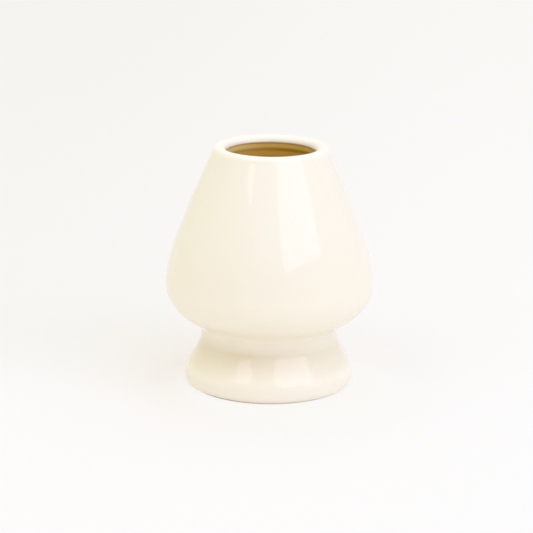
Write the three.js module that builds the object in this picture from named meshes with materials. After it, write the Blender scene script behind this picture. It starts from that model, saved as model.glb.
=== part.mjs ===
// A tea whisk holder: a small hollow stand of slip-cast ceramic on which a bamboo whisk dries.
// The clay body is one closed outline turned round the upright axis: a flared foot, a crease where it
// meets the short neck, a tight waist, a full belly that tapers to a rounded lip, and inside, a short
// throat over a cavity that follows the outside at the thickness of the cast wall and runs out through
// the open foot. The glaze coat is a skin of even thickness that is fused over the outside. It starts
// a little above the ring that the holder stands on, and ends at the inner edge of the mouth, so the
// throat and the cavity are bare.
// The origin is the centre of the foot, on the surface it stands on, with +Z up.

import * as THREE from 'three';

// Heights and diameters of the glazed outside, in millimetres
const height = 72.4;
const bellyDiameter = 62;
const bellyHeight = 31.2;
const waistDiameter = 40.6;
const waistHeight = 16.5;
const creaseDiameter = 41.2;
const creaseHeight = 13.1;
const footDiameter = 50.4;
const lipDiameter = 34.4;

// The foot's lower edge rolls in to the flat ring that it stands on
const footRollHeight = 2.9;
const footRollDepth = 2.05;
const footWall = 4.7;
const footInnerRoll = 0.7;

// The lip, the mouth that the whisk's core drops into, and the throat under it
const lipRollHeight = 1.2;
const lipRollDepth = 1;
const mouthDiameter = 26.6;
const mouthRollHeight = 1.7;
const mouthRollDepth = 0.9;
const throatDepth = 4.2;
const undercutHeight = 2.4;

// The cast clay and the glaze over it, both measured square to the outside, and the height at which
// the glaze is wiped off the foot
const clayWall = 3.3;
const glazeThickness = 0.3;
const glazeStopHeight = 0.75;

// How far the outside leans in where the side meets the lip, and just above and below the crease
const sideLean = THREE.MathUtils.degToRad(22.7);
const neckLean = THREE.MathUtils.degToRad(15);
const flareLean = THREE.MathUtils.degToRad(25.5);

// Each stretch of an outline is one curve. These are the lengths of its two handles, as shares of the
// stretch's height: a short handle turns tightly at that end and a long one sweeps.
const flareShares = [0.4, 0.75];
const neckShares = [0.45, 0.42];
const undersideShares = [0.24, 0.71];
const sideShares = [0.245, 0.288];
const flareInsideShares = [0.4, 0.45];
const undercutShares = [0.45, 0.4];
const bareRollShares = [0.5, 0.3];

// How many steps round the axis, and along each stretch and rounded edge
const turnSteps = 48;
const flareSteps = 6;
const neckSteps = 2;
const undersideSteps = 10;
const sideSteps = 8;
const flareInsideSteps = 4;
const undersideInsideSteps = 8;
const sideInsideSteps = 5;
const rollSteps = 4;

// Corners nearer than this share of the glaze's thickness are one corner
const sameShare = 0.25;

const quarterTurn = Math.PI / 2;
const halfTurn = Math.PI;
const wall = clayWall + glazeThickness;

const point = (radius, z) => new THREE.Vector2(radius, z);

// A point moved along a line that leans from the vertical; a positive lean goes in as it goes up.
const along = (start, lean, distance) =>
  point(start.x - distance * Math.sin(lean), start.y + distance * Math.cos(lean));

// One smooth stretch from a lower to an upper point, with the lean it has at each end.
function sweep(lower, upper, [lowerShare, upperShare], lowerLean = 0, upperLean = 0) {
  const rise = upper.y - lower.y;
  return new THREE.CubicBezierCurve(
    lower,
    along(lower, lowerLean, lowerShare * rise),
    along(upper, upperLean, -upperShare * rise),
    upper,
  );
}

// A rounded edge about a centre, from one turn to another.
function roll(centre, depth, rise, startTurn, endTurn) {
  return new THREE.EllipseCurve(centre.x, centre.y, depth, rise, startTurn, endTurn);
}

// A point of a stretch moved in, square to the stretch.
function inside(curve, share, depth) {
  const outer = curve.getPoint(share);
  const tangent = curve.getTangent(share);
  return point(outer.x - tangent.y * depth, outer.y + tangent.x * depth);
}

// The inside of a stretch as points from a share of it down to its lower end.
function insideDownwards(curve, topShare, depth, steps) {
  return Array.from({ length: steps + 1 }, (_, step) =>
    inside(curve, topShare * (1 - step / steps), depth));
}

// The share of a stretch at which its inside has risen to a given height.
function shareAtHeight(curve, z, depth) {
  let low = 0;
  let high = 1;
  while (high - low > Number.EPSILON) {
    const middle = (low + high) / 2;
    if (middle === low || middle === high) break;
    if (inside(curve, middle, depth).y < z) low = middle;
    else high = middle;
  }
  return low;
}

// Neighbouring stretches share an end point, which an outline holds once.
function withoutRepeats(points) {
  const isNew = (corner, index) =>
    index === 0 || corner.distanceTo(points[index - 1]) > sameShare * glazeThickness;
  return points.filter(isNew);
}

// A closed outline turned round the upright axis.
function turned(name, outline, material) {
  const piece = new THREE.Mesh(new THREE.LatheGeometry([...outline, outline[0]], turnSteps), material);
  piece.name = name;
  piece.rotation.x = quarterTurn;
  return piece;
}

// The outside, from the foot to the lip
const footEdge = point(footDiameter / 2, footRollHeight);
const crease = point(creaseDiameter / 2, creaseHeight);
const waist = point(waistDiameter / 2, waistHeight);
const belly = point(bellyDiameter / 2, bellyHeight);
const lipEdge = point(lipDiameter / 2, height - lipRollHeight);

const flare = sweep(footEdge, crease, flareShares, 0, flareLean);
const neck = sweep(crease, waist, neckShares, neckLean, 0);
const underside = sweep(waist, belly, undersideShares);
const side = sweep(belly, lipEdge, sideShares, 0, sideLean);

const footRing = point(footEdge.x - footRollDepth, 0);
const glazeStopTurn = Math.asin(glazeStopHeight / footRollHeight - 1);
const footRoll = roll(point(footRing.x, footEdge.y), footRollDepth, footRollHeight, glazeStopTurn, 0);
const lipRoll = roll(point(lipEdge.x - lipRollDepth, lipEdge.y), lipRollDepth, lipRollHeight, 0, quarterTurn);

const mouthEdge = point(mouthDiameter / 2, height - mouthRollHeight);
const mouthCentre = point(mouthEdge.x + mouthRollDepth, mouthEdge.y);
const mouthRoll = roll(mouthCentre, mouthRollDepth, mouthRollHeight, quarterTurn, halfTurn);

// The glaze coat: every coated stretch, and the same stretches at the depth of the glaze, which are
// also the outside of the clay under it
const coated = [
  [footRoll, rollSteps],
  [flare, flareSteps],
  [neck, neckSteps],
  [underside, undersideSteps],
  [side, sideSteps],
  [lipRoll, rollSteps],
  [mouthRoll, rollSteps],
];
const glazeOutside = withoutRepeats(coated.flatMap(([curve, steps]) => curve.getPoints(steps)));
const underGlaze = withoutRepeats(coated.flatMap(([curve, steps]) =>
  curve.getPoints(steps).map((_, step) => inside(curve, step / steps, glazeThickness))));

// The bare clay of the foot, from the flat ring up to the glaze
const glazeStop = underGlaze[0];
const glazeStopTangent = footRoll.getTangent(0);
const glazeStopLean = Math.atan2(-glazeStopTangent.x, glazeStopTangent.y);
const bareRoll = sweep(footRing, glazeStop, bareRollShares, -quarterTurn, glazeStopLean);

// The throat, and the undercut where it opens into the cavity
const throatTop = underGlaze.at(-1);
const throatEnd = point(throatTop.x, height - throatDepth);
const cavityTopShare = shareAtHeight(side, throatEnd.y - undercutHeight, wall);
const cavityTop = inside(side, cavityTopShare, wall);
const undercut = sweep(cavityTop, throatEnd, undercutShares, sideLean, 0);

// The inside of the foot, from its inner edge up to the wall behind the crease
const footInnerEdge = point(footEdge.x - footWall, footInnerRoll);
const flareInside = sweep(footInnerEdge, inside(flare, 1, wall), flareInsideShares, 0, flareLean);
const footInnerCentre = point(footInnerEdge.x + footInnerRoll, footInnerEdge.y);
const footInnerCurve = roll(footInnerCentre, footInnerRoll, footInnerRoll, halfTurn, halfTurn + quarterTurn);

const clayOutline = withoutRepeats([
  ...bareRoll.getPoints(rollSteps),
  ...underGlaze,
  ...undercut.getPoints(rollSteps).reverse(),
  ...insideDownwards(side, cavityTopShare, wall, sideInsideSteps),
  ...insideDownwards(underside, 1, wall, undersideInsideSteps),
  ...insideDownwards(neck, 1, wall, neckSteps),
  ...flareInside.getPoints(flareInsideSteps).reverse(),
  ...footInnerCurve.getPoints(rollSteps),
]);
const glazeOutline = [...glazeOutside, ...underGlaze.toReversed()];

const ochreClay = new THREE.MeshStandardMaterial({ color: 0xc79f5c, roughness: 0.85, metalness: 0 });
const creamGlaze = new THREE.MeshStandardMaterial({ color: 0xf8f0dc, roughness: 0.12, metalness: 0 });

const holder = new THREE.Group();
holder.add(turned('clay_body', clayOutline, ochreClay));
holder.add(turned('glaze_coat', glazeOutline, creamGlaze));

export default holder;
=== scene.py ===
# A tea whisk holder of ochre clay under a coat of cream glaze, on a pale studio floor.
# Lengths are in metres, with +Z up and the origin at the centre of the foot.
import math

import bpy
import numpy as np
from mathutils import Matrix, Vector


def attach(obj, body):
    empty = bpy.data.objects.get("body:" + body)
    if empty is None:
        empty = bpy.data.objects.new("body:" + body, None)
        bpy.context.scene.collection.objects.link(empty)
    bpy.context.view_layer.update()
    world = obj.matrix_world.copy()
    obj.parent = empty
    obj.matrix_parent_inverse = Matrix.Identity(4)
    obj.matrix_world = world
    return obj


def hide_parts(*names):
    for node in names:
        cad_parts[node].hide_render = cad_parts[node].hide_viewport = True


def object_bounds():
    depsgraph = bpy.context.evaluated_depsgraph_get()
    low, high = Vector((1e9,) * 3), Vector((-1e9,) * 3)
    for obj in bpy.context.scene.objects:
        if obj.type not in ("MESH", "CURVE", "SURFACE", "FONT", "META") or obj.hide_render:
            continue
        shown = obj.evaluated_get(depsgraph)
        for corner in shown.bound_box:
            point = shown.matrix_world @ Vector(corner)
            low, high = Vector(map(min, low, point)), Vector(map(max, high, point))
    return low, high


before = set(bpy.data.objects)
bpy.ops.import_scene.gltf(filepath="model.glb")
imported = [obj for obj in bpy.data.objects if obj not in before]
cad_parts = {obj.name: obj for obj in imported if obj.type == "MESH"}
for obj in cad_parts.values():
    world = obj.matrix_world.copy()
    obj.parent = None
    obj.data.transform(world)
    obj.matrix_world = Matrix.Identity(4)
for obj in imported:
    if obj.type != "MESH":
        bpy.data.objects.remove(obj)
solid_low, solid_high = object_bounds()

# The glazed outside of the holder. A roll's size is how far it goes across and how far up.
HEIGHT = solid_high.z - solid_low.z
BELLY_RADIUS = (solid_high.x - solid_low.x) / 2
BELLY_Z = 0.0312
WAIST_RADIUS = 0.0203
WAIST_Z = 0.0165
CREASE_RADIUS = 0.0206
CREASE_Z = 0.0131
FOOT_RADIUS = 0.0252
FOOT_ROLL_SIZE = (0.00205, 0.0029)
LIP_RADIUS = 0.0172
LIP_ROLL_SIZE = (0.001, 0.0012)
SIDE_LEAN = math.radians(22.7)
NECK_LEAN = math.radians(15)
FLARE_LEAN = math.radians(25.5)

# The mouth and the inside
CLAY_WALL = 0.0033
FOOT_WALL = 0.0047
FOOT_INNER_ROLL = 0.0007
MOUTH_RADIUS = 0.0133
MOUTH_ROLL_SIZE = (0.0024, 0.0019)
THROAT_DEPTH = 0.0062
UNDERCUT_HEIGHT = 0.0024

# The glaze lies over the outside, from where it is wiped off the foot to the inner edge of the mouth
GLAZE_THICKNESS = 0.0003
GLAZE_STOP_Z = 0.00075
WALL = CLAY_WALL + GLAZE_THICKNESS

# Painted shade lies in the crease, over a reach above it and another below it. Painted light lies just
# over the waist. The glaze is palest where the outside bends out by so many radians per metre, taken over
# a reach, where it thins over rounded edges and has painted light there too.
CREASE_SHADE_REACH_ABOVE = 0.0019
CREASE_SHADE_REACH_BELOW = 0.0044
WAIST_LIGHT_RISE = 0.0023
WAIST_LIGHT_PLACE = (WAIST_RADIUS, WAIST_Z + WAIST_LIGHT_RISE)
WAIST_LIGHT_REACH = 0.0028
PALEST_BEND = 260
THIN_REACH = 0.0022

# Handle lengths of each stretch's curve, as shares of its height
FLARE_SHARES = (0.4, 0.75)
NECK_SHARES = (0.45, 0.42)
UNDERSIDE_SHARES = (0.24, 0.71)
SIDE_SHARES = (0.245, 0.288)
MOUTH_ROLL_SHARES = (0.3, 0.95)
BARE_ROLL_SHARES = (0.5, 0.3)
FLARE_INSIDE_SHARES = (0.4, 0.45)
UNDERCUT_SHARES = (0.45, 0.4)

# How finely the surface is turned: the steps round the axis and along the outline, the points that each
# curve has before they are set evenly, and which of a roll's points the ends of the glaze keep
TURN_STEPS = 192
OUTLINE_STEP = 0.00045
STRETCH_POINTS = 240
ROLL_POINTS = 60
GLAZE_END_STRIDE = 7
SAME_PLACE = 1e-9


def sweep(lower, upper, shares, lower_lean=0.0, upper_lean=0.0):
    """The points of one smooth stretch from a lower to an upper point, which leans in by these angles."""
    lower, upper = np.array(lower), np.array(upper)
    rise = upper[1] - lower[1]
    leave = lower + shares[0] * rise * np.array([-math.sin(lower_lean), math.cos(lower_lean)])
    arrive = upper - shares[1] * rise * np.array([-math.sin(upper_lean), math.cos(upper_lean)])
    t = np.linspace(0, 1, STRETCH_POINTS)[:, None]
    s = 1 - t
    return s**3 * lower + 3 * s**2 * t * leave + 3 * s * t**2 * arrive + t**3 * upper


def roll(centre, size, start, end):
    """A rounded edge: part of an ellipse between two angles."""
    turn = np.linspace(start, end, ROLL_POINTS)
    return np.stack([centre[0] + size[0] * np.cos(turn), centre[1] + size[1] * np.sin(turn)], 1)


def inside_of(stretch, depth):
    """A stretch moved in, square to itself."""
    tangent = np.gradient(stretch, axis=0)
    tangent /= np.linalg.norm(tangent, axis=1)[:, None]
    return stretch + depth * np.stack([-tangent[:, 1], tangent[:, 0]], 1)


def evenly(stretches):
    """Stretches joined into one outline, with its points at an even distance and none of them doubled."""
    outline = np.concatenate([np.atleast_2d(stretch) for stretch in stretches])
    reach = np.concatenate([[0], np.cumsum(np.linalg.norm(np.diff(outline, axis=0), axis=1))])
    kept = np.concatenate([[True], np.diff(reach) > SAME_PLACE])
    at = np.linspace(0, reach[-1], round(reach[-1] / OUTLINE_STEP) + 1)
    return np.stack([np.interp(at, reach[kept], outline[kept, axis]) for axis in (0, 1)], 1)


def turned(name, outline, marks=None):
    """A closed outline turned round the upright axis into a closed mesh. A mark has a value per point."""
    count = len(outline)
    turn = np.arange(TURN_STEPS) * 2 * math.pi / TURN_STEPS
    radius, z = outline[:, 0], outline[:, 1]
    x, y = np.outer(np.cos(turn), radius), np.outer(np.sin(turn), radius)
    corners = np.stack([x, y, np.broadcast_to(z, x.shape)], 2).reshape(-1, 3)
    here = np.arange(TURN_STEPS * count).reshape(TURN_STEPS, count)
    along, across = np.roll(here, -1, 1), np.roll(here, -1, 0)
    faces = np.stack([here, across, np.roll(across, -1, 1), along], 2).reshape(-1, 4)
    mesh = bpy.data.meshes.new(name)
    mesh.from_pydata(corners.tolist(), [], faces.tolist())
    for mark, values in (marks or {}).items():
        layer = mesh.attributes.new(mark, "FLOAT", "POINT")
        layer.data.foreach_set("value", np.tile(values, TURN_STEPS).astype(np.float32))
    mesh.shade_smooth()
    piece = bpy.data.objects.new(name, mesh)
    bpy.context.scene.collection.objects.link(piece)
    return piece


# The glazed outside, one stretch after another from the foot up and over the lip
RING_RADIUS = FOOT_RADIUS - FOOT_ROLL_SIZE[0]
FOOT_EDGE = (FOOT_RADIUS, FOOT_ROLL_SIZE[1])
CREASE = (CREASE_RADIUS, CREASE_Z)
WAIST = (WAIST_RADIUS, WAIST_Z)
BELLY = (BELLY_RADIUS, BELLY_Z)
LIP_EDGE = (LIP_RADIUS, HEIGHT - LIP_ROLL_SIZE[1])
LIP_TOP = (MOUTH_RADIUS + MOUTH_ROLL_SIZE[0], HEIGHT)
MOUTH_EDGE = (MOUTH_RADIUS, HEIGHT - MOUTH_ROLL_SIZE[1])
GLAZE_STOP_TURN = math.asin(GLAZE_STOP_Z / FOOT_ROLL_SIZE[1] - 1)
foot_roll = roll((RING_RADIUS, FOOT_EDGE[1]), FOOT_ROLL_SIZE, GLAZE_STOP_TURN, 0)
flare = sweep(FOOT_EDGE, CREASE, FLARE_SHARES, 0, FLARE_LEAN)
neck = sweep(CREASE, WAIST, NECK_SHARES, NECK_LEAN, 0)
underside = sweep(WAIST, BELLY, UNDERSIDE_SHARES)
side = sweep(BELLY, LIP_EDGE, SIDE_SHARES, 0, SIDE_LEAN)
lip_roll = roll((LIP_RADIUS - LIP_ROLL_SIZE[0], LIP_EDGE[1]), LIP_ROLL_SIZE, 0, math.pi / 2)
mouth_roll = sweep(MOUTH_EDGE, LIP_TOP, MOUTH_ROLL_SHARES, 0, -math.pi / 2)[::-1]
coated = (foot_roll, flare, neck, underside, side, lip_roll, mouth_roll)


def bulge(outline):
    """How sharply an open outline bends out at each point, in radians per metre, taken over a reach."""
    ahead, behind = np.diff(outline[1:], axis=0), np.diff(outline[:-1], axis=0)
    cross = behind[:, 0] * ahead[:, 1] - behind[:, 1] * ahead[:, 0]
    bend = cross / (np.linalg.norm(ahead, axis=1) * np.linalg.norm(behind, axis=1)) / OUTLINE_STEP
    width = int(THIN_REACH / OUTLINE_STEP)
    window = np.hanning(2 * width + 1)
    return np.convolve(np.pad(bend, width + 1, "edge"), window / window.sum(), "valid")


def nearness(outline, place, reach):
    """How near each point is to a place, from 1 at it to almost nothing past twice the reach."""
    return np.exp(-((np.linalg.norm(outline - np.array(place), axis=1) / reach) ** 2))


def glaze_coat():
    """The glaze as a closed skin with rounded ends, marked for painted shade in the crease, painted light
    over the waist and over rounded edges where it thins, and where it ends.
    """
    outside = evenly(coated)
    under = evenly([inside_of(stretch, GLAZE_THICKNESS) for stretch in coated])
    half = GLAZE_THICKNESS / 2
    mouth_end = roll((MOUTH_RADIUS + half, MOUTH_EDGE[1]), (half, half), math.pi, 2 * math.pi)
    across = outside[0] - under[0]
    facing = math.atan2(across[1], across[0])
    foot_end = roll(under[0] + across / 2, (half, half), facing - math.pi, facing)
    mouth_end, foot_end = (end[1:-1:GLAZE_END_STRIDE] for end in (mouth_end, foot_end))
    outline = np.concatenate([outside, mouth_end, under[::-1], foot_end])
    hidden = (0, len(outline) - len(outside))
    crease_shade_reach = np.where(outside[:, 1] > CREASE_Z, CREASE_SHADE_REACH_ABOVE, CREASE_SHADE_REACH_BELOW)
    to_end = np.arange(len(outside))[::-1] * OUTLINE_STEP
    marks = {
        "crease_shade": np.pad(nearness(outside, CREASE, crease_shade_reach), hidden),
        "waist_light": np.pad(nearness(outside, WAIST_LIGHT_PLACE, WAIST_LIGHT_REACH), hidden),
        "thin_and_lit": np.pad(np.clip(bulge(outside) / PALEST_BEND, 0, 1), hidden),
        "ending": np.pad(np.exp(-to_end / GLAZE_THICKNESS), hidden, constant_values=1),
    }
    return turned("glaze_coat", outline, marks)


def clay_body():
    """The fired clay: bare at the foot, the throat and the cavity, and hidden by the glaze elsewhere."""
    under = [inside_of(stretch, GLAZE_THICKNESS) for stretch in coated]
    stop_out = -math.sin(GLAZE_STOP_TURN) * FOOT_ROLL_SIZE[0]
    stop_up = math.cos(GLAZE_STOP_TURN) * FOOT_ROLL_SIZE[1]
    stop_lean = -math.atan2(stop_out, stop_up)
    bare_roll = sweep((RING_RADIUS, 0), under[0][0], BARE_ROLL_SHARES, -math.pi / 2, stop_lean)
    throat_end = (under[-1][-1, 0], HEIGHT - THROAT_DEPTH)
    side_inside = inside_of(side, WALL)
    side_inside = side_inside[side_inside[:, 1] < throat_end[1] - UNDERCUT_HEIGHT]
    undercut = sweep(side_inside[-1], throat_end, UNDERCUT_SHARES, SIDE_LEAN, 0)
    inner_edge = (FOOT_RADIUS - FOOT_WALL, FOOT_INNER_ROLL)
    flare_inside = sweep(inner_edge, inside_of(flare, WALL)[-1], FLARE_INSIDE_SHARES, 0, FLARE_LEAN)
    inner_centre = (inner_edge[0] + FOOT_INNER_ROLL, FOOT_INNER_ROLL)
    inner_roll = roll(inner_centre, (FOOT_INNER_ROLL, FOOT_INNER_ROLL), math.pi, math.pi * 1.5)
    upwards = [flare_inside, inside_of(neck, WALL), inside_of(underside, WALL), side_inside, undercut]
    downwards = [stretch[::-1] for stretch in reversed(upwards)]
    outline = evenly([bare_roll, *under, *downwards, inner_roll, (RING_RADIUS, 0)])
    return turned("clay_body", outline[:-1])


class Strand:
    """A socket of a shader tree that can be used in Python arithmetic."""

    def __init__(self, finish, socket):
        self.finish = finish
        self.socket = socket

    def __add__(self, other):
        return self.finish.math("ADD", self, other)

    def __sub__(self, other):
        return self.finish.math("SUBTRACT", self, other)

    def __rsub__(self, other):
        return self.finish.math("SUBTRACT", other, self)

    def __mul__(self, other):
        return self.finish.math("MULTIPLY", self, other)

    def __neg__(self):
        return self.finish.math("MULTIPLY", -1, self)

    def __abs__(self):
        return self.finish.math("ABSOLUTE", self)

    __radd__ = __add__
    __rmul__ = __mul__


# Which of a Mix node's outputs is its colour, and the value that noise swings about
MIXED_COLOUR = 2
NOISE_MIDDLE = 0.5


class Finish:
    """A material, or the world, as a shader tree that is written as expressions."""

    def __init__(self, owner):
        owner.use_nodes = True
        self.owner = owner
        self.tree = owner.node_tree
        self.tree.nodes.clear()

    def feed(self, socket, value):
        """Gives a socket its link or its value. A colour is red, green and blue, and opaque."""
        if isinstance(value, Strand):
            self.tree.links.new(value.socket, socket)
        elif socket.type == "RGBA":
            socket.default_value = (*value, 1)
        else:
            socket.default_value = value

    def node(self, kind, settings=None, values=None, output=0):
        """A node with its settings made first and then its sockets fed, as one of its outputs."""
        node = self.tree.nodes.new(kind)
        for name, value in (settings or {}).items():
            setattr(node, name, value)
        by_identifier = {socket.identifier: socket for socket in node.inputs}
        for name, value in (values or {}).items():
            self.feed(by_identifier[name] if name in by_identifier else node.inputs[name], value)
        return Strand(self, node.outputs[output])

    def math(self, operation, *values):
        return self.node("ShaderNodeMath", {"operation": operation}, dict(enumerate(values)))

    def clamped(self, value):
        return self.node("ShaderNodeClamp", {}, {"Value": value})

    def steepened(self, value, gain, loss):
        """A value times a gain and less a loss, held between 0 and 1."""
        return self.clamped(gain * value - loss)

    def eased(self, value, span):
        """A value turned into a smooth rise from 0 at the span's start to 1 at its end."""
        values = {"Value": value, "From Min": span[0], "From Max": span[1]}
        return self.node("ShaderNodeMapRange", {"interpolation_type": "SMOOTHSTEP"}, values)

    def blend(self, share, first, second):
        """Two colours mixed by the second one's share."""
        values = {"Factor_Float": share, "A_Color": first, "B_Color": second}
        return self.node("ShaderNodeMix", {"data_type": "RGBA"}, values, MIXED_COLOUR)

    def part(self, vector, axis):
        return self.node("ShaderNodeSeparateXYZ", {}, {"Vector": vector}, axis)

    def place(self):
        return self.node("ShaderNodeTexCoord", output="Object")

    def distance(self, place):
        """How far the surface is from a place."""
        settings = {"operation": "DISTANCE"}
        return self.node("ShaderNodeVectorMath", settings, {0: self.place(), 1: place}, "Value")

    def mark(self, name):
        return self.node("ShaderNodeAttribute", {"attribute_name": name}, output="Fac")

    def noise(self, scale, detail, roughness=0.5):
        values = {"Vector": self.place(), "Scale": scale, "Detail": detail, "Roughness": roughness}
        return self.node("ShaderNodeTexNoise", {}, values)

    def uneven(self, scale, detail):
        """Noise that swings to both sides of zero."""
        return self.noise(scale, detail) - NOISE_MIDDLE

    def matt(self, colour):
        return self.node("ShaderNodeBsdfDiffuse", {}, {"Color": colour})

    def glow(self, colour):
        return self.node("ShaderNodeEmission", {}, {"Color": colour, "Strength": 1})

    def mixed(self, share, first, second):
        """Two shaders mixed by the second one's share."""
        return self.node("ShaderNodeMixShader", {}, {"Fac": share, 1: first, 2: second})

    def fired(self, colour, roughness, ior, relief):
        """The surface of fired ware, with its relief as a height in metres."""
        normal = self.node("ShaderNodeBump", {}, {"Strength": 1, "Distance": 1, "Height": relief})
        values = {"Base Color": colour, "Roughness": roughness, "IOR": ior, "Normal": normal}
        return self.output(self.node("ShaderNodeBsdfPrincipled", {}, values))

    def output(self, shader, kind="ShaderNodeOutputMaterial"):
        self.tree.links.new(shader.socket, self.tree.nodes.new(kind).inputs["Surface"])
        return self.owner


# The glaze's colours where it lies evenly: high up, paler with a painted sheen; low down; and low down on
# the right, paler with painted light
SHEEN_HIGH_CREAM = (0.917, 0.888, 0.786)
LOW_CREAM = (0.906, 0.861, 0.737)
LIT_LOW_RIGHT_CREAM = (0.91, 0.885, 0.753)
HIGH_SPAN = (0.022, 0.052)
RIGHT_SPAN = (0, 0.015)

# Its colours with painted light just over the waist, where it thins over an edge and has painted light
# there, with painted shade in the crease, and where it ends over the clay
WAIST_LIGHT_CREAM = (0.99, 0.945, 0.83)
THIN_AND_LIT_CREAM = (0.975, 0.94, 0.85)
CREASE_SHADE_CREAM = (0.805, 0.722, 0.555)
ENDING_TAN = (0.72, 0.53, 0.25)
ENDING_STEEPNESS = (1.4, 0.5)

# How deep the painted shade in the crease is, with more at a place on the front left, less on the right,
# and, all over the glaze, a little more or less from place to place. A noise is given by its scale to a
# metre and its detail.
CREASE_SHADE_DEPTH = 0.6
FRONT_LEFT_SHADE_DEPTH = 0.3
FRONT_LEFT_SHADE_PLACE = (-0.0074, -0.0192, CREASE_Z)
FRONT_LEFT_SHADE_SPAN = (0.002, 0.01)
RIGHT_SHADE_LOSS = 0.28
CLOUDS = (55, 3)
CLOUD_DEPTH = 0.12
MOTTLE = (850, 2)
MOTTLE_DEPTH = 0.05

# Its gloss, its slow ripple and its fine orange peel
GLAZE_IOR = 1.6
GLAZE_ROUGHNESS = 0.04
DULL_PATCHES = (140, 3)
DULL_GAIN = 0.03
RIPPLE = (70, 1)
RIPPLE_HEIGHT = 0.00002
PEEL = (750, 2)
PEEL_HEIGHT = 0.0000022


def cream_glaze():
    """A glossy opaque glaze: paler where it thins over edges and with painted light there, over the waist,
    high up and low on the right; darker with painted shade in the crease; tan where it ends.
    """
    finish = Finish(bpy.data.materials.new("cream_glaze"))
    # Paler high up with a painted sheen, and low down on the right with painted light
    to_right = finish.eased(finish.part(finish.place(), "X"), RIGHT_SPAN)
    to_top = finish.eased(finish.part(finish.place(), "Z"), HIGH_SPAN)
    even = finish.blend(to_top, finish.blend(to_right, LOW_CREAM, LIT_LOW_RIGHT_CREAM), SHEEN_HIGH_CREAM)
    # Painted light just over the waist
    whole = finish.blend(finish.mark("waist_light"), even, WAIST_LIGHT_CREAM)
    # Painted shade in the crease, deeper at a place on the front left and fainter on the right
    front_left_shade = 1 - finish.eased(finish.distance(FRONT_LEFT_SHADE_PLACE), FRONT_LEFT_SHADE_SPAN)
    depth = finish.mark("crease_shade") * (CREASE_SHADE_DEPTH + FRONT_LEFT_SHADE_DEPTH * front_left_shade - RIGHT_SHADE_LOSS * to_right)
    depth = depth + CLOUD_DEPTH * finish.uneven(*CLOUDS) + MOTTLE_DEPTH * finish.uneven(*MOTTLE)
    crease_shaded = finish.blend(finish.clamped(depth), whole, CREASE_SHADE_CREAM)
    # Paler where the glaze thins over rounded edges, with painted light there too
    thinned_and_lit = finish.blend(finish.mark("thin_and_lit"), crease_shaded, THIN_AND_LIT_CREAM)
    ending = finish.steepened(finish.mark("ending"), *ENDING_STEEPNESS)
    colour = finish.blend(ending, thinned_and_lit, ENDING_TAN)
    roughness = GLAZE_ROUGHNESS + DULL_GAIN * finish.noise(*DULL_PATCHES)
    relief = RIPPLE_HEIGHT * finish.noise(*RIPPLE) + PEEL_HEIGHT * finish.noise(*PEEL)
    return finish.fired(colour, roughness, GLAZE_IOR, relief)


# The clay's two shades, the soft patches in which they change, and its grain, a noise with its own
# roughness
CLAY = (0.84, 0.565, 0.145)
DARKER_CLAY = (0.8, 0.535, 0.125)
PATCHES = (160, 3)
PATCH_STEEPNESS = (1.8, 0.4)
GRAIN = (2400, 4, 0.65)
GRAIN_STEEPNESS = (3, 1.7)
GRAIN_COLOUR = (0.48, 0.31, 0.08)
GRAIN_HEIGHT = 0.00003

# Painted light on the throat's left side, painted shade that darkens the cavity, and between that and
# the throat a line of painted shade, which is fainter on the left
LIT_LEFT_CLAY = (0.98, 0.755, 0.3)
LIT_LEFT_SPAN = (0, -0.012)
SHADED_CAVITY_CLAY = (0.69, 0.42, 0.074)
SHADE_LINE_Z = 0.0683
SHADE_LINE_REACH = 0.0011
SHADE_LINE_COLOUR = (0.42, 0.22, 0.01)
SHADE_LINE_SHARE = 0.7
SHADE_LINE_SPAN = (-0.008, 0.006)

# The foot's wiped ring, paler with painted light, and browner on the left with painted shade
LIT_RING_CLAY = (0.98, 0.91, 0.77)
SHADED_LEFT_RING_CLAY = (0.36, 0.24, 0.12)
SHADED_LEFT_RING_SPAN = (0, -0.02)
RING_HEIGHT_SPAN = (0.0006, 0.0022)

# How dull it is, and how much duller in its patches
CLAY_IOR = 1.25
CLAY_ROUGHNESS = 0.75
PATCH_DULL_GAIN = 0.15


def bare_clay():
    """Fine unglazed ochre clay, matt and faintly grained, with the soft patches of a cast wall."""
    finish = Finish(bpy.data.materials.new("bare_clay"))
    across = finish.part(finish.place(), "X")
    height = finish.part(finish.place(), "Z")
    patches = finish.noise(*PATCHES)
    grain = finish.noise(*GRAIN)
    colour = finish.blend(finish.steepened(patches, *PATCH_STEEPNESS), CLAY, DARKER_CLAY)
    colour = finish.blend(finish.steepened(grain, *GRAIN_STEEPNESS), colour, GRAIN_COLOUR)
    # Painted light on the throat's left side
    colour = finish.blend(finish.eased(across, LIT_LEFT_SPAN), colour, LIT_LEFT_CLAY)
    # Painted shade: the darker cavity below the line, and the line itself, fainter on the left
    below_line = 1 - finish.eased(height, (SHADE_LINE_Z - SHADE_LINE_REACH, SHADE_LINE_Z))
    colour = finish.blend(below_line, colour, SHADED_CAVITY_CLAY)
    at_line = 1 - finish.eased(abs(height - SHADE_LINE_Z), (0, SHADE_LINE_REACH))
    strength = SHADE_LINE_SHARE + (1 - SHADE_LINE_SHARE) * finish.eased(across, SHADE_LINE_SPAN)
    colour = finish.blend(at_line * strength, colour, SHADE_LINE_COLOUR)
    # Painted light on the foot's ring, and painted shade on its left
    ring = finish.blend(finish.eased(across, SHADED_LEFT_RING_SPAN), LIT_RING_CLAY, SHADED_LEFT_RING_CLAY)
    colour = finish.blend(finish.eased(height, RING_HEIGHT_SPAN), ring, colour)
    roughness = CLAY_ROUGHNESS + PATCH_DULL_GAIN * patches
    return finish.fired(colour, roughness, CLAY_IOR, GRAIN_HEIGHT * grain)


# The floor's colour as it lights the holder
FLOOR_HALF_SIZE = 1.6
FLOOR_COLOUR = (0.9, 0.875, 0.83)

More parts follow.
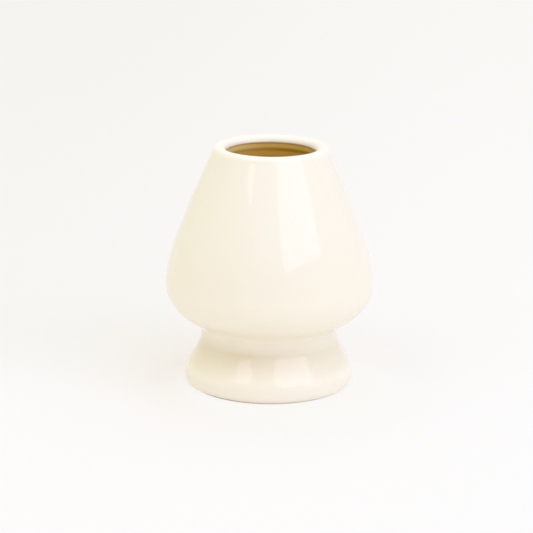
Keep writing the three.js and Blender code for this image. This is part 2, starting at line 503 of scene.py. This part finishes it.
# As the camera and the gloss see it, it is paler and its shadow lighter: another colour under an even
# lift of light, which differs on the left, on the right and in front
SEEN_FLOOR_COLOUR = (0.4, 0.55, 0.61)
SEEN_LEFT_LIFT = (0.485, 0.314, 0.233)
SEEN_RIGHT_LIFT = (0.522, 0.35, 0.275)
SEEN_FRONT_LIFT = (0.522, 0.351, 0.281)
SEEN_SIDE_SPAN = (-0.13, 0.13)
SEEN_FRONT_SPAN = (0.05, -0.03)

# Close to the foot they see it more evenly pale, with painted light over its contact shadow, and inside
# the ring of the foot as it is lit
PAINTED_CONTACT_LIGHT = (0.965, 0.953, 0.93)
CONTACT_SHARE = 0.88
CONTACT_PLACE = (0.008, -0.0075, 0)
CONTACT_SPAN = (0.028, 0.045)
UNCOVERED_SPAN = (FOOT_RADIUS - FOOT_WALL, RING_RADIUS)


def pale_floor():
    """The floor's matt finish, as it lights the holder and as it is seen."""
    finish = Finish(bpy.data.materials.new("floor"))
    to_right = finish.eased(finish.part(finish.place(), "X"), SEEN_SIDE_SPAN)
    to_front = finish.eased(finish.part(finish.place(), "Y"), SEEN_FRONT_SPAN)
    lift = finish.blend(to_right, SEEN_LEFT_LIFT, SEEN_RIGHT_LIFT)
    lift = finish.blend(to_front, lift, SEEN_FRONT_LIFT)
    shaders = {0: finish.matt(SEEN_FLOOR_COLOUR), 1: finish.glow(lift)}
    seen = finish.node("ShaderNodeAddShader", {}, shaders)
    # Painted light close to the foot, over its contact shadow
    near_foot = CONTACT_SHARE * (1 - finish.eased(finish.distance(CONTACT_PLACE), CONTACT_SPAN))
    seen = finish.mixed(near_foot, seen, finish.glow(PAINTED_CONTACT_LIGHT))
    uncovered = finish.eased(finish.distance((0, 0, 0)), UNCOVERED_SPAN)
    by_camera = finish.node("ShaderNodeLightPath", output="Is Camera Ray")
    in_gloss = finish.node("ShaderNodeLightPath", output="Is Glossy Ray")
    return finish.output(finish.mixed((by_camera + in_gloss) * uncovered, finish.matt(FLOOR_COLOUR), seen))


def floor():
    """A seamless floor under the holder."""
    half = FLOOR_HALF_SIZE
    corners = [(-half, -half, 0), (half, -half, 0), (half, half, 0), (-half, half, 0)]
    mesh = bpy.data.meshes.new("floor")
    mesh.from_pydata(corners, [], [(0, 1, 2, 3)])
    mesh.materials.append(pale_floor())
    sheet = bpy.data.objects.new("floor", mesh)
    bpy.context.scene.collection.objects.link(sheet)


# The softboxes. Azimuth 0 is the camera's side and turns to the right, in degrees like the elevation.
SOFTBOX_DISTANCE = 1.6
RIGHT_SOFTBOX = {"azimuth": 41, "elevation": 35.7, "size": (1.4, 0.97), "radiance": (1.07, 0.94, 1.3)}
LEFT_SOFTBOX = {"azimuth": -43, "elevation": 44, "size": (0.56, 0.72), "radiance": (0.95, 1, 1.1)}


def softbox(name, azimuth, elevation, size, radiance):
    """A rectangular lamp that faces the holder, with a radiance in red, green and blue."""
    around, up = math.radians(azimuth), math.radians(elevation)
    away = Vector((math.sin(around) * math.cos(up), -math.cos(around) * math.cos(up), math.sin(up)))
    lamp = bpy.data.lights.new(name, "AREA")
    lamp.shape = "RECTANGLE"
    lamp.size, lamp.size_y = size
    lamp.energy = max(radiance) * math.pi * size[0] * size[1]
    lamp.color = [share / max(radiance) for share in radiance]
    box = bpy.data.objects.new(name, lamp)
    box.location = Vector((0, 0, HEIGHT / 2)) + away * SOFTBOX_DISTANCE
    box.rotation_euler = away.to_track_quat("Z", "Y").to_euler()
    bpy.context.scene.collection.objects.link(box)


# How bright the white studio is all round, what its ceiling and horizon add to that, and what its front
# and sides take away. A span says how far a direction points up, to the front or to a side.
ROOM_LEVEL = 0.785
CEILING_GAIN = 0.48
CEILING_SPAN = (0.3, 0.95)
HORIZON_GAIN = 0.1
HORIZON_SPAN = (0.05, 0.4)
FRONT_LOSS = 0.185
FRONT_SPAN = (0.2, 0.9)
RIGHT_LOSS = 0.05
LEFT_LOSS = {"Red": 0.05, "Green": 0.105, "Blue": 0.29}
SIDE_SPAN = (0.1, 0.9)


def studio():
    """The light of a white studio with a bright ceiling, which is dimmer and warmer on the left."""
    finish = Finish(bpy.data.worlds.new("studio"))
    towards = finish.node("ShaderNodeTexCoord", output="Generated")
    across, away, up = (finish.part(towards, axis) for axis in "XYZ")
    level = ROOM_LEVEL + CEILING_GAIN * finish.eased(up, CEILING_SPAN)
    level = level + HORIZON_GAIN * (1 - finish.eased(up, HORIZON_SPAN))
    level = level - FRONT_LOSS * finish.eased(-away, FRONT_SPAN)
    level = level - RIGHT_LOSS * finish.eased(across, SIDE_SPAN)
    to_left = finish.eased(-across, SIDE_SPAN)
    channels = {channel: level - loss * to_left for channel, loss in LEFT_LOSS.items()}
    colour = finish.node("ShaderNodeCombineColor", {}, channels)
    light = finish.node("ShaderNodeBackground", {}, {"Color": colour, "Strength": 1})
    bpy.context.scene.world = finish.output(light, "ShaderNodeOutputWorld")


# The camera, fitted to the photograph's outline of the holder. The sensor is in millimetres.
PHOTO_PIXELS = 533
FOCAL_PIXELS = 2437
AXIS_PIXEL_X = 269.77
CAMERA_DISTANCE = 0.727
CAMERA_ELEVATION = math.radians(15.1)
CAMERA_ROLL = math.radians(0.575)
AIM_Z = 0.0355
SENSOR_WIDTH = 36
NEAR_CLIP = 0.01


def photo_camera():
    """The camera at the photograph's place, with the holder's axis at its pixel column."""
    data = bpy.data.cameras.new("camera")
    data.sensor_width = SENSOR_WIDTH
    data.lens = SENSOR_WIDTH * FOCAL_PIXELS / PHOTO_PIXELS
    data.clip_start = NEAR_CLIP
    camera = bpy.data.objects.new("camera", data)
    aside = (AXIS_PIXEL_X - PHOTO_PIXELS / 2) / FOCAL_PIXELS * CAMERA_DISTANCE
    back = Vector((0, -math.cos(CAMERA_ELEVATION), math.sin(CAMERA_ELEVATION)))
    place = Vector((-aside, 0, AIM_Z)) + back * CAMERA_DISTANCE
    tilt = Matrix.Rotation(math.pi / 2 - CAMERA_ELEVATION, 4, "X")
    camera.matrix_world = Matrix.Translation(place) @ tilt @ Matrix.Rotation(CAMERA_ROLL, 4, "Z")
    bpy.context.scene.collection.objects.link(camera)
    bpy.context.scene.camera = camera


def dressed(piece, node, material):
    """A piece that stands for one solid of the frame, in its material."""
    piece.data.materials.append(material)
    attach(piece, "root")
    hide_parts(node)


photo_camera()
bpy.context.scene.view_settings.view_transform = "Standard"
studio()
softbox("right_softbox", **RIGHT_SOFTBOX)
softbox("left_softbox", **LEFT_SOFTBOX)
floor()

dressed(clay_body(), "clay_body", bare_clay())
dressed(glaze_coat(), "glaze_coat", cream_glaze())
